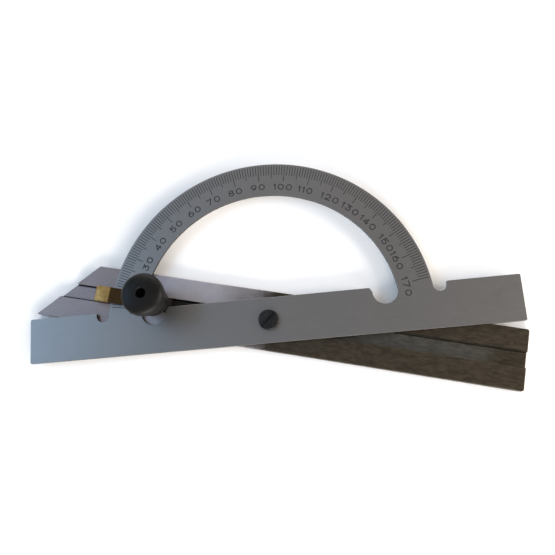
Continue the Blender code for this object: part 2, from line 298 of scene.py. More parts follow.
def trough(path: np.ndarray, width: float, top: float, bottom: float, round_ends: bool) -> Shell:
    """The body that a fine cutter sweeps along a flat path, wide above and narrower below.

    Its section is a trapezium. The sides stand at half the width to each side of the path, along
    the path's normal; with round ends the width follows a half circle over the two end points.

    Args:
        path: (x, y) points of the cutter's middle.
        width: width of the cut at the top.
        top: height of the upper face, above the surface that is cut.
        bottom: height of the floor of the cut.
        round_ends: whether the cut ends in half circles.

    Returns:
        A closed shell.
    """
    floor_share = 0.55      # width of the floor over the width at the top
    end_angles = (15.0, 50.0)   # places of the end's points on its half circle, in degrees
    half = np.full(len(path), width / 2)
    if round_ends:
        cap = np.radians(end_angles)
        ahead = (path[0] - path[1]) / np.linalg.norm(path[0] - path[1])
        behind = (path[-1] - path[-2]) / np.linalg.norm(path[-1] - path[-2])
        reach = (width / 2 * np.cos(cap))[:, None]
        path = np.vstack([path[0] + ahead * reach, path, path[-1] + behind * reach[::-1]])
        narrowed = width / 2 * np.sin(cap)
        half = np.concatenate([narrowed, half, narrowed[::-1]])
    step = np.gradient(path, axis=0)
    step /= np.linalg.norm(step, axis=1)[:, None]
    normal = np.stack([-step[:, 1], step[:, 0]], axis=1)
    corners = ((1, top, 1.0), (-1, top, 1.0), (-1, bottom, floor_share), (1, bottom, floor_share))
    rails = [at_height(path + normal * (side * half * share)[:, None], level)
             for side, level, share in corners]
    points = np.stack(rails, axis=1).reshape(-1, 3)
    count = len(path)
    caps = [[3, 2, 1, 0], [4 * (count - 1) + corner for corner in range(4)]]
    return Shell(points, grid_faces(count, 4, False, True) + caps)


# ------------------------------------------------------------------ objects


def make_piece(name: str, shell: Shell, materials: Sequence[bpy.types.Material] = (),
               smooth: float | None = SMOOTH_BELOW) -> bpy.types.Object:
    """A mesh object at the origin from a shell in millimetres.

    Args:
        name: the object's name.
        shell: its points and faces.
        materials: its material slots, in order.
        smooth: faces that meet at less than this angle, in degrees, are shaded as one; None is
            flat.

    Returns:
        The object, linked to the scene, with its faces turned outwards.
    """
    mesh = bpy.data.meshes.new(name)
    mesh.from_pydata((shell.points * MM).tolist(), [], shell.faces)
    for material in materials:
        mesh.materials.append(material)
    piece = bpy.data.objects.new(name, mesh)
    bpy.context.scene.collection.objects.link(piece)
    face_outwards(mesh)
    shade(piece, smooth)
    return piece


def face_outwards(mesh: bpy.types.Mesh) -> None:
    """Recalculate a closed mesh's normals so that they point out.

    Args:
        mesh: the mesh, changed in place.
    """
    body = bmesh.new()
    body.from_mesh(mesh)
    bmesh.ops.recalc_face_normals(body, faces=body.faces)
    body.to_mesh(mesh)
    body.free()
    mesh.update()


def face_up(mesh: bpy.types.Mesh) -> None:
    """Turn a flat sheet's normals to +Z."""
    if mesh.polygons[0].normal.z < 0:
        mesh.flip_normals()


def shade(piece: bpy.types.Object, smooth: float | None) -> None:
    """Shade a piece.

    Args:
        piece: the piece, changed in place.
        smooth: edges below this angle, in degrees, are shaded smooth; None is flat.
    """
    if smooth is None:
        piece.data.shade_flat()
    else:
        piece.data.shade_smooth()
        piece.data.set_sharp_from_angle(angle=math.radians(smooth))


def settle(piece: bpy.types.Object) -> None:
    """Make a piece's modifiers part of its mesh.

    Args:
        piece: the piece, changed in place.
    """
    graph = bpy.context.evaluated_depsgraph_get()
    graph.update()
    finished = bpy.data.meshes.new_from_object(piece.evaluated_get(graph))
    finished.name = piece.name
    piece.modifiers.clear()
    piece.data = finished


def carve(piece: bpy.types.Object, tool: bpy.types.Object, tool_overlaps: bool = False) -> None:
    """Cut a tool body out of a piece, and remove the tool.

    Args:
        piece: the piece, changed in place.
        tool: the body to cut away.
        tool_overlaps: whether parts of the tool cross each other.
    """
    modifier = piece.modifiers.new(tool.name, "BOOLEAN")
    modifier.operation = "DIFFERENCE"
    modifier.object = tool
    modifier.solver = "EXACT"
    modifier.use_self = tool_overlaps
    settle(piece)
    bpy.data.objects.remove(tool, do_unlink=True)


def soften(piece: bpy.types.Object, width: float, angle: float = 35.0) -> None:
    """Round a piece's edges.

    Args:
        piece: the piece, changed in place.
        width: width of the rounding, in millimetres.
        angle: edges between faces that meet at more than this, in degrees, are rounded.
    """
    modifier = piece.modifiers.new("soft_edges", "BEVEL")
    modifier.width = width * MM
    modifier.segments = 2
    modifier.limit_method = "ANGLE"
    modifier.angle_limit = math.radians(angle)
    modifier.use_clamp_overlap = True
    settle(piece)
    shade(piece, SMOOTH_BELOW)


def box_mm(node: str) -> tuple[np.ndarray, np.ndarray]:
    """Lowest and highest corner of a solid of the frame, in millimetres."""
    low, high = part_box(node)
    return np.array(low) / MM, np.array(high) / MM


def rest_turn() -> float:
    """The blade's angle from +X at rest, in degrees, from the direction it slides in."""
    slide = next(joint for joint in frame["joints"] if joint["name"] == "blade_slide")
    return math.degrees(math.atan2(slide["axis"][1], slide["axis"][0]))


def commit(piece: bpy.types.Object, body: Body, node: str) -> None:
    """Hand a finished piece over.

    Args:
        piece: the finished piece.
        body: the body that it rides on.
        node: the plain solid that it stands for.
    """
    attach(piece, body.value)
    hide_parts(node)
    log.info("%s rides on %s: %d faces", piece.name, body.value, len(piece.data.polygons))


# ------------------------------------------------------------------ shader tools

Feed = bpy.types.NodeSocket | float | Sequence[float]


class Canvas:
    """A node tree with short calls for the nodes that the finishes use."""

    def __init__(self, tree: bpy.types.NodeTree) -> None:
        """Work on this tree."""
        self.tree = tree

    def feed(self, socket: bpy.types.NodeSocket, value: Feed) -> None:
        """Give a socket its value.

        Args:
            socket: an input of a node.
            value: another node's output to link to it, or a plain value.
        """
        if isinstance(value, bpy.types.NodeSocket):
            self.tree.links.new(value, socket)
        else:
            socket.default_value = value

    def add(self, kind: str, **settings: object) -> bpy.types.Node:
        """A new node.

        Args:
            kind: the node's type.
            settings: the node's own settings by name.

        Returns:
            The node.
        """
        node = self.tree.nodes.new(kind)
        for name, value in settings.items():
            setattr(node, name, value)
        return node

    def _combined(self, kind: str, operation: str, first: Feed, second: Feed) -> bpy.types.Node:
        """A node that works on two inputs.

        Args:
            kind: the node's type.
            operation: what it does.
            first: its first input.
            second: its second input.

        Returns:
            The node.
        """
        node = self.add(kind, operation=operation)
        self.feed(node.inputs[0], first)
        self.feed(node.inputs[1], second)
        return node

    def maths(self, operation: str, first: Feed, second: Feed = 0.0) -> bpy.types.NodeSocket:
        """The result of one sum on two numbers."""
        return self._combined("ShaderNodeMath", operation, first, second).outputs[0]

    def stretched(self, vector: Feed, factors: Feed) -> bpy.types.NodeSocket:
        """A vector multiplied by a factor along each axis."""
        return self._combined("ShaderNodeVectorMath", "MULTIPLY", vector, factors).outputs[0]

    def along(self, vector: Feed, direction: Sequence[float]) -> bpy.types.NodeSocket:
        """How far a point lies along a direction."""
        node = self._combined("ShaderNodeVectorMath", "DOT_PRODUCT", vector, direction)
        return node.outputs["Value"]

    def noise(self, vector: Feed, scale: Feed, detail: float = 3.0,
              rough: float = 0.55) -> bpy.types.NodeSocket:
        """Fractal noise from 0 to 1.

        Args:
            vector: the place in the noise.
            scale: cells to the metre.
            detail: number of finer layers.
            rough: how strong the finer layers are.

        Returns:
            The noise.
        """
        node = self.add("ShaderNodeTexNoise")
        values = {"Vector": vector, "Scale": scale, "Detail": detail, "Roughness": rough}
        for name, value in values.items():
            self.feed(node.inputs[name], value)
        return node.outputs[0]

    def remap(self, value: Feed, low: Feed, high: Feed, to_low: Feed = 0.0,
              to_high: Feed = 1.0) -> bpy.types.NodeSocket:
        """A value eased from one range to another.

        Args:
            value: the value.
            low: start of its range.
            high: end of its range.
            to_low: what the start becomes.
            to_high: what the end becomes.

        Returns:
            The eased value.
        """
        node = self.add("ShaderNodeMapRange", interpolation_type="SMOOTHSTEP")
        for place, fed in enumerate((value, low, high, to_low, to_high)):
            self.feed(node.inputs[place], fed)
        return node.outputs[0]

    def blend(self, share: Feed, first: Feed, second: Feed,
              how: str = "MIX") -> bpy.types.NodeSocket:
        """Two colours mixed.

        Args:
            share: how much of the second, from 0 to 1.
            first: a colour, or a socket that gives one.
            second: the other colour.
            how: the way they are mixed.

        Returns:
            The mixed colour.
        """
        node = self.add("ShaderNodeMix", data_type="RGBA", blend_type=how)
        self.feed(node.inputs[0], share)
        for place, colour in ((6, first), (7, second)):
            linked = isinstance(colour, bpy.types.NodeSocket)
            self.feed(node.inputs[place], colour if linked else (*colour, 1.0))
        return node.outputs[2]

    def grey(self, tone: Feed) -> bpy.types.NodeSocket:
        """A number as a grey colour."""
        node = self.add("ShaderNodeCombineColor")
        for channel in range(3):
            self.feed(node.inputs[channel], tone)
        return node.outputs[0]

    def bump(self, height: Feed, depth: float, strength: float) -> bpy.types.NodeSocket:
        """A normal that follows a height.

        Args:
            height: the height, from 0 to 1.
            depth: what a height of 1 stands for, in millimetres.
            strength: how far the normal leans.

        Returns:
            The normal.
        """
        node = self.add("ShaderNodeBump")
        for name, value in {"Strength": strength, "Distance": depth * MM, "Height": height}.items():
            self.feed(node.inputs[name], value)
        return node.outputs[0]

    def effect(self, effect: Effect, vector: Feed, **values: float) -> bpy.types.NodeSocket:
        """A shared effect.

        Args:
            effect: which one.
            vector: the place on the surface.
            values: the group's named inputs.

        Returns:
            The effect's mask.
        """
        node = self.add("ShaderNodeGroup")
        node.node_tree = effect_group(effect)
        self.feed(node.inputs["Vector"], vector)
        for name, value in values.items():
            self.feed(node.inputs[name], value)
        return node.outputs[0]


def build_brushing(canvas: Canvas, given: bpy.types.NodeOutputs) -> bpy.types.NodeSocket:
    """Fine lines along X: noise on a vector that is squeezed along X by the stretch.

    Args:
        canvas: the group's tree.
        given: the group's inputs.

    Returns:
        The lines, from 0 to 1.
    """
    squeeze = canvas.add("ShaderNodeCombineXYZ")
    canvas.feed(squeeze.inputs[0], canvas.maths("DIVIDE", given["Density"], given["Stretch"]))
    canvas.feed(squeeze.inputs[1], given["Density"])
    canvas.feed(squeeze.inputs[2], given["Density"])
    drawn = canvas.stretched(given["Vector"], squeeze.outputs[0])
    return canvas.noise(drawn, PER_MM, 4.0, 0.65)


def build_blotches(canvas: Canvas, given: bpy.types.NodeOutputs) -> bpy.types.NodeSocket:
    """Stains: large noise cut at the level that leaves the wanted cover, with a soft edge.

    Args:
        canvas: the group's tree.
        given: the group's inputs.

    Returns:
        The stains, from 0 to 1.
    """
    scale = canvas.maths("DIVIDE", PER_MM, given["Size"])
    raw = canvas.noise(given["Vector"], scale, 6.0, 0.62)
    level = canvas.maths("SUBTRACT", 1.0, given["Cover"])
    low = canvas.maths("SUBTRACT", level, given["Edge"])
    high = canvas.maths("ADD", level, given["Edge"])
    return canvas.remap(raw, low, high)


def build_scratches(canvas: Canvas, given: bpy.types.NodeOutputs) -> bpy.types.NodeSocket:
    """Hairline scratches: two sets of long thin noise ridges, broken up along their length.

    Args:
        canvas: the group's tree.
        given: the group's inputs.

    Returns:
        The scratches, from 0 to the amount.
    """
    slants_and_squeezes = ((0.35, 0.03), (-1.1, 0.05))  # angle in radians, squeeze along the hair
    hair_width = 0.006      # in the noise's own units, to each side of a ridge
    patch_scale, patch_shift = 60.0, 25.0
    sets = []
    for slant, squeeze in slants_and_squeezes:
        turn = canvas.add("ShaderNodeVectorRotate", rotation_type="Z_AXIS")
        canvas.feed(turn.inputs["Vector"], given["Vector"])
        canvas.feed(turn.inputs["Angle"], slant)
        drawn = canvas.stretched(turn.outputs[0], (squeeze, 1.0, 1.0))
        ridge = canvas.noise(drawn, canvas.maths("MULTIPLY", given["Density"], PER_MM), 2.0, 0.5)
        thin = canvas.maths("ABSOLUTE", canvas.maths("SUBTRACT", ridge, 0.5))
        hair = canvas.remap(thin, 0.0, hair_width, 1.0, 0.0)
        broken = canvas.noise(given["Vector"], patch_scale + patch_shift * squeeze, 2.0)
        sets.append(canvas.maths("MULTIPLY", hair, canvas.remap(broken, 0.52, 0.66)))
    return canvas.maths("MULTIPLY", canvas.maths("MAXIMUM", *sets), given["Amount"])


@dataclass(frozen=True)
class EffectPlan:
    """How an effect's group is made: its named inputs with their usual values, and its builder."""

    inputs: dict[str, float]
    build: Callable[[Canvas, bpy.types.NodeOutputs], bpy.types.NodeSocket]


EFFECT_PLANS = {
    Effect.BRUSHING: EffectPlan({"Density": 1.0, "Stretch": 20.0}, build_brushing),
    Effect.BLOTCHES: EffectPlan({"Size": 10.0, "Cover": 0.5, "Edge": 0.1}, build_blotches),
    Effect.SCRATCHES: EffectPlan({"Density": 0.5, "Amount": 0.5}, build_scratches),
}


def effect_group(effect: Effect) -> bpy.types.NodeTree:
    """The node group of an effect, built the first time it is asked for.

    Args:
        effect: which one.

    Returns:
        The group.
    """
    found = bpy.data.node_groups.get(effect.value)
    if found is not None:
        return found
    plan = EFFECT_PLANS[effect]
    tree = bpy.data.node_groups.new(effect.value, "ShaderNodeTree")
    tree.interface.new_socket("Vector", in_out="INPUT", socket_type="NodeSocketVector")
    for name, value in plan.inputs.items():
        socket = tree.interface.new_socket(name, in_out="INPUT", socket_type="NodeSocketFloat")
        socket.default_value = value
    tree.interface.new_socket("Mask", in_out="OUTPUT", socket_type="NodeSocketFloat")
    canvas = Canvas(tree)
    start = canvas.add("NodeGroupInput")
    end = canvas.add("NodeGroupOutput")
    canvas.feed(end.inputs["Mask"], plan.build(canvas, start.outputs))
    return tree


def blank_material(name: str) -> tuple[bpy.types.Material, Canvas, bpy.types.NodeInputs]:
    """A new material.

    Args:
        name: the material's name.

    Returns:
        The material, its canvas and the inputs of its Principled shader.
    """
    made = bpy.data.materials.new(name)
    made.use_nodes = True
    return made, Canvas(made.node_tree), made.node_tree.nodes["Principled BSDF"].inputs


@dataclass(frozen=True)
class Ramp:
    """A mask that eases from 0 at start to 1 at end, in millimetres along a direction.

    The breakup shifts the line by up to half its value either way, with ragged noise.
    """

    direction: tuple[float, float, float]
    start: float
    end: float
    breakup: float = 0.0

    def mask(self, canvas: Canvas, local: bpy.types.NodeSocket) -> bpy.types.NodeSocket:
        """The ramp's nodes.

        Args:
            canvas: the material's tree.
            local: the place on the piece, turned to the finish's own direction.

        Returns:
            The mask, from 0 to 1.
        """
        distance = canvas.along(local, tuple(value / MM for value in self.direction))
        if self.breakup:
            ragged = canvas.maths("SUBTRACT", canvas.noise(local, 90.0, 5.0, 0.65), 0.5)
            distance = canvas.maths("ADD", distance, canvas.maths("MULTIPLY", ragged, self.breakup))
        return canvas.remap(distance, self.start, self.end)


@dataclass(frozen=True)
class Zone:
    """A part of a surface painted in another colour, for stains, wear or painted shade: where all
    its ramps are past their line.

    Attributes:
        ramps: the masks whose product bounds it.
        colour: its colour.
        cover: how far it hides what is under it.
        roughness: added to the metal's own.
        mottle: how far the colour varies in fine grains.
    """

    ramps: tuple[Ramp, ...]
    colour: Colour
    cover: float = 1.0
    roughness: float = 0.0
    mottle: float = 0.0

    def shade(self, change: float) -> Colour:
        """The zone's colour made lighter, or darker for a change below 0."""
        return tuple(value * (1.0 + change) for value in self.colour)


@dataclass(frozen=True)
class Metal:
    """A machined metal: brushing, stains, scratches and zones of another colour.

    Attributes:
        name: the material's name.
        base: colour of the clean metal.
        stain: colour of the stains.
        roughness: of the clean metal.
        metallic: how far it is bare metal, not oxide.
        turn: direction of the brushing, in degrees from +X.
        brushing: lines per millimetre, depth of the lines in millimetres, and their stretch.
        stains: their size in millimetres and cover from 0 to 1.
        scratches: lines per millimetre and strength.
        contrast: how much the brushing darkens and lightens the colour.
        zones: parts painted in another colour, some of them painted shade, in order.
    """

    name: str
    base: Colour
    stain: Colour
    roughness: float
    metallic: float = 1.0
    turn: float = 0.0
    brushing: tuple[float, float, float] = (2.0, 0.004, 30.0)
    stains: tuple[float, float] = (14.0, 0.45)
    scratches: tuple[float, float] = (0.35, 0.5)
    contrast: float = 0.05
    zones: tuple[Zone, ...] = ()

    def material(self) -> bpy.types.Material:
        """The finish as a Blender material, built once."""
        found = bpy.data.materials.get(self.name)
        return found if found is not None else self._build()

    def _build(self) -> bpy.types.Material:
        """Lay out the nodes.

        Returns:
            The new material.
        """
        stain_strength, line_range = 0.6, (0.3, 0.7)
        scratch_shine, scratch_depth, bump_strength = 0.15, 1.5, 0.6
        made, canvas, shader = blank_material(self.name)
        turned = canvas.add("ShaderNodeMapping")
        canvas.feed(turned.inputs["Vector"], canvas.add("ShaderNodeTexCoord").outputs["Object"])
        turned.inputs["Rotation"].default_value = (0.0, 0.0, math.radians(-self.turn))
        local = turned.outputs[0]

        density, depth, stretch = self.brushing
        size, cover = self.stains
        lines = canvas.effect(Effect.BRUSHING, local, Density=density, Stretch=stretch)
        stain = canvas.effect(Effect.BLOTCHES, local, Size=size, Cover=cover, Edge=0.12)
        marks = canvas.effect(Effect.SCRATCHES, local, Density=self.scratches[0],
                              Amount=self.scratches[1])

        colour = canvas.blend(canvas.maths("MULTIPLY", stain, stain_strength),
                              self.base, self.stain)
        tone = canvas.remap(lines, *line_range, 1.0 - self.contrast, 1.0 + self.contrast)
        rough = canvas.remap(lines, *line_range, self.roughness - self.contrast,
                             self.roughness + self.contrast)
        rough = canvas.maths("ADD", rough, canvas.maths("MULTIPLY", stain, self.contrast))
        drawn = canvas.stretched(local, (0.35, 1.0, 1.0))
        grains = canvas.remap(canvas.noise(drawn, 420.0, 8.0, 0.75), 0.32, 0.68)
        for zone in self.zones:
            mask = zone.cover
            for ramp in zone.ramps:
                mask = canvas.maths("MULTIPLY", mask, ramp.mask(canvas, local))
            grained = canvas.blend(grains, zone.shade(-zone.mottle), zone.shade(zone.mottle))
            colour = canvas.blend(mask, colour, grained)
            rough = canvas.maths("ADD", rough, canvas.maths("MULTIPLY", mask, zone.roughness))
        canvas.feed(shader["Base Color"], canvas.blend(1.0, colour, canvas.grey(tone), "MULTIPLY"))
        shine = canvas.maths("MULTIPLY", marks, scratch_shine)
        canvas.feed(shader["Roughness"], canvas.maths("SUBTRACT", rough, shine))
        shader["Metallic"].default_value = self.metallic

        cut = canvas.maths("MULTIPLY", marks, scratch_depth)
        height = canvas.maths("SUBTRACT", lines, cut)
        canvas.feed(shader["Normal"], canvas.bump(height, depth, bump_strength))
        return made


@dataclass(frozen=True)
class Dull:
    """A matt or moulded surface: paint fill or phenolic, with fine unevenness and handling marks.

    Attributes:
        name: the material's name.
        base: its colour.
        worn: its colour where it is rubbed or dusty.
        roughness: of the fresh surface.
        grain: size of the unevenness in millimetres, and its depth in millimetres.
        wear: cover of the rubbed patches, from 0 to 1.
        gloss: strength of the surface reflection, 0.5 for a plain varnish.
    """

    name: str
    base: Colour
    worn: Colour
    roughness: float
    grain: tuple[float, float] = (0.4, 0.01)
    wear: float = 0.4
    gloss: float = 0.5

    def material(self) -> bpy.types.Material:
        """The finish as a Blender material, built once."""
        found = bpy.data.materials.get(self.name)
        return found if found is not None else self._build()

    def _build(self) -> bpy.types.Material:
        """Lay out the nodes.

        Returns:
            The new material.
        """
        patch_size, patch_strength, wear_roughness, bump_strength = 9.0, 0.5, 0.15, 0.5
        made, canvas, shader = blank_material(self.name)
        place = canvas.add("ShaderNodeTexCoord").outputs["Object"]
        rubbed = canvas.effect(Effect.BLOTCHES, place, Size=patch_size, Cover=self.wear, Edge=0.15)
        marks = canvas.effect(Effect.SCRATCHES, place, Density=0.5, Amount=0.8)
        share = canvas.maths("MAXIMUM", canvas.maths("MULTIPLY", rubbed, patch_strength), marks)
        canvas.feed(shader["Base Color"], canvas.blend(share, self.base, self.worn))
        canvas.feed(shader["Roughness"], canvas.remap(share, 0.0, 1.0, self.roughness,
                                                      self.roughness + wear_roughness))
        shader["Specular IOR Level"].default_value = self.gloss
        grains = canvas.noise(place, PER_MM / self.grain[0])
        canvas.feed(shader["Normal"], canvas.bump(grains, self.grain[1], bump_strength))
        return made


# ------------------------------------------------------------------ finishes of this tool

BLADE_TURN = rest_turn()

ALONG, ACROSS, UP = (1.0, 0.0, 0.0), (0.0, 1.0, 0.0), (0.0, 0.0, 1.0)
BACKWARDS, OPPOSITE, DOWN = (-1.0, 0.0, 0.0), (0.0, -1.0, 0.0), (0.0, 0.0, -1.0)
GROOVE_FLOOR = Ramp(DOWN, -4.7, -3.4)
LEFT_OF_PIVOT = Ramp(BACKWARDS, 20.0, 40.0)
RIGHT_OF_PIVOT = Ramp(ALONG, -10.0, 20.0)

# Painted shade: the walls of the cuts and edges, between the plate's back and its front, are painted
# near black.
PLATE_WALLS_PAINTED_SHADE = Zone((Ramp(DOWN, -7.20, -7.10), Ramp(UP, 5.35, 5.50)), (0.018, 0.018, 0.019),
                   cover=0.95)

SATIN_STEEL = Metal(
    "satin_steel", base=(0.262, 0.256, 0.254), stain=(0.250, 0.245, 0.243), roughness=0.40,
    brushing=(2.4, 0.0008, 12.0), stains=(18.0, 0.5), scratches=(0.3, 0.5), contrast=0.015,
    zones=(PLATE_WALLS_PAINTED_SHADE,))

BLADE_ZONES = (
    # warm grey towards the slanted end
    Zone((Ramp(BACKWARDS, 46.0, 96.0, 8.0),), (0.262, 0.215, 0.206), mottle=0.04),
    # dull grey from the left of the pivot on
    Zone((Ramp(ALONG, -38.0, -18.0, 10.0),), (0.330, 0.300, 0.300), mottle=0.12),
    # brown tarnish from the pivot to the square end, made darker still as painted shade for the dark
    # reflection it shows
    Zone((Ramp(ALONG, -16.0, 4.0, 24.0),), (0.067, 0.055, 0.041), roughness=0.08, mottle=0.30),
    # painted shadow of the arm on the groove's floor between the knob and the pivot
    Zone((Ramp(ALONG, -80.0, -70.0), GROOVE_FLOOR, Ramp(BACKWARDS, -15.0, -5.0)),
         (0.018, 0.017, 0.017), cover=0.92),
    # grey dust on the groove's floor past the pivot
    Zone((Ramp(ALONG, 4.0, 20.0, 20.0), GROOVE_FLOOR, Ramp(BACKWARDS, -138.0, -120.0, 16.0)),
         (0.108, 0.104, 0.092), cover=0.9, mottle=0.22),
    # dirt and painted shade in the floor's upper corner under the lip, left of the pivot
    Zone((LEFT_OF_PIVOT, Ramp(ACROSS, 3.5, 4.0, 0.4), GROOVE_FLOOR),
         (0.020, 0.018, 0.018), cover=0.95),
    # dirt and painted shade along the lower lip, left of the pivot
    Zone((LEFT_OF_PIVOT, Ramp(OPPOSITE, 3.7, 4.1, 0.4), Ramp(ACROSS, -5.0, -4.8, 0.3)),
         (0.020, 0.018, 0.018), cover=0.9),
    # dark upper lip, right of the pivot
    Zone((Ramp(ACROSS, 3.9, 4.5, 0.5), Ramp(OPPOSITE, -5.7, -5.0, 0.8), RIGHT_OF_PIVOT),
         (0.026, 0.024, 0.019), cover=0.85, mottle=0.4),
    # the lighter line beside it: partly rubbed wear, partly a painted glint of the lip's edge
    Zone((Ramp(ACROSS, 3.0, 3.7, 1.0), Ramp(OPPOSITE, -4.3, -3.9, 0.4), RIGHT_OF_PIVOT,
          Ramp(DOWN, -5.1, -5.0)), (0.135, 0.120, 0.098), cover=0.6, mottle=0.5),
)

# Patina, dust and wear, together with painted shade and shadow zones on the blade.
BLADE_FINISH = Metal(
    "blade_steel_patina_and_painted_shade", base=(0.53, 0.49, 0.51), stain=(0.46, 0.43, 0.45), roughness=0.42,
    turn=BLADE_TURN, brushing=(1.6, 0.003, 10.0), stains=(7.0, 0.5), scratches=(0.25, 0.9),
    contrast=0.035, zones=BLADE_ZONES)

# Painted shade: machined steel made near black for the shadow that lies in the groove under the arm
# and knob.
SLIDER_STEEL_PAINTED_SHADE = Metal(
    "slider_steel_painted_shade", base=(0.085, 0.083, 0.080), stain=(0.050, 0.047, 0.044), roughness=0.45,
    turn=BLADE_TURN)

PLATED_STEEL = Metal(
    "plated_steel", base=(0.62, 0.62, 0.60), stain=(0.50, 0.49, 0.46), roughness=0.34,
    brushing=(3.0, 0.002, 2.0), stains=(4.0, 0.4))

SLOT_TURN = 42.0    # the screw's slot and its file marks, in degrees from +X
BLACKED_STEEL = Metal(
    "blacked_steel", base=(0.024, 0.024, 0.025), stain=(0.055, 0.055, 0.055), roughness=0.42,
    metallic=0.85, turn=SLOT_TURN, brushing=(3.5, 0.006, 4.0), stains=(2.2, 0.4),
    scratches=(1.4, 1.0))

# Painted shade and painted reflection of the knob: dark brown on the bar, ramp and nose, everything
# inward of the heel.
BRIDGE_PAINTED_SHADE = Zone((Ramp(ALONG, -100.9, -100.4, 0.5),), (0.034, 0.019, 0.009),
                      cover=0.93, roughness=0.1)

CLAMP_BRASS = Metal(
    "clamp_brass", base=(0.40, 0.240, 0.082), stain=(0.19, 0.112, 0.042), roughness=0.36,
    turn=BLADE_TURN, brushing=(2.2, 0.004, 5.0), stains=(2.2, 0.45), scratches=(0.8, 0.8),
    zones=(BRIDGE_PAINTED_SHADE,))

BUSH_BRASS = Metal(
    "bush_brass", base=(0.55, 0.40, 0.18), stain=(0.38, 0.26, 0.11), roughness=0.4,
    brushing=(3.0, 0.003, 3.0), stains=(3.0, 0.5))

BLACK_PHENOLIC = Dull(
    "knob_phenolic", base=(0.0040, 0.0040, 0.0039), worn=(0.0085, 0.0085, 0.0082),
    roughness=0.43, grain=(0.5, 0.012), wear=0.45, gloss=0.15)

ENGRAVING_INK = Dull(
    "engraving_ink", base=(0.006, 0.006, 0.007), worn=(0.016, 0.016, 0.017),
    roughness=0.6, grain=(0.15, 0.01), wear=0.35)


# ------------------------------------------------------------------ scale plate


def legs(*corners: tuple[float, float]) -> list[np.ndarray]:
    """Straight strokes from each corner to the next."""
    return [np.array(pair) for pair in zip(corners, corners[1:])]


# Middle lines of engraved digits in a box one high and one wide, or 0.25 wide for the one.
DIGIT_STROKES: dict[str, list[np.ndarray]] = {
    "0": [arc((0.5, 0.5), (0.5, 0.5), 0, 360, 25)],
    "1": legs((0.0, 0.76), (0.25, 1.0), (0.25, 0.0)),
    "2": [arc((0.5, 0.70), (0.45, 0.30), 172, -38, 13),
          *legs((0.85, 0.51), (0.03, 0.0), (1.0, 0.0))],
    "3": [*legs((0.06, 1.0), (0.92, 1.0), (0.42, 0.62)),
          arc((0.46, 0.31), (0.48, 0.31), 95, -155, 17)],
    "4": legs((0.70, 0.0), (0.70, 1.0), (0.0, 0.27), (1.0, 0.27)),
    "5": [*legs((0.92, 1.0), (0.20, 1.0), (0.10, 0.52)),
          arc((0.48, 0.33), (0.48, 0.33), 145, -150, 19)],
    "6": [arc((0.5, 0.32), (0.48, 0.32), 0, 360, 21), arc((0.92, 0.28), (0.90, 0.72), 108, 176, 9)],
    "7": legs((0.02, 1.0), (1.0, 1.0), (0.38, 0.0)),
    "8": [arc((0.5, 0.77), (0.38, 0.23), 0, 360, 21), arc((0.5, 0.27), (0.48, 0.27), 0, 360, 21)],
}
# The nine is the six turned half round.
DIGIT_STROKES["9"] = [1.0 - stroke for stroke in DIGIT_STROKES["6"]]


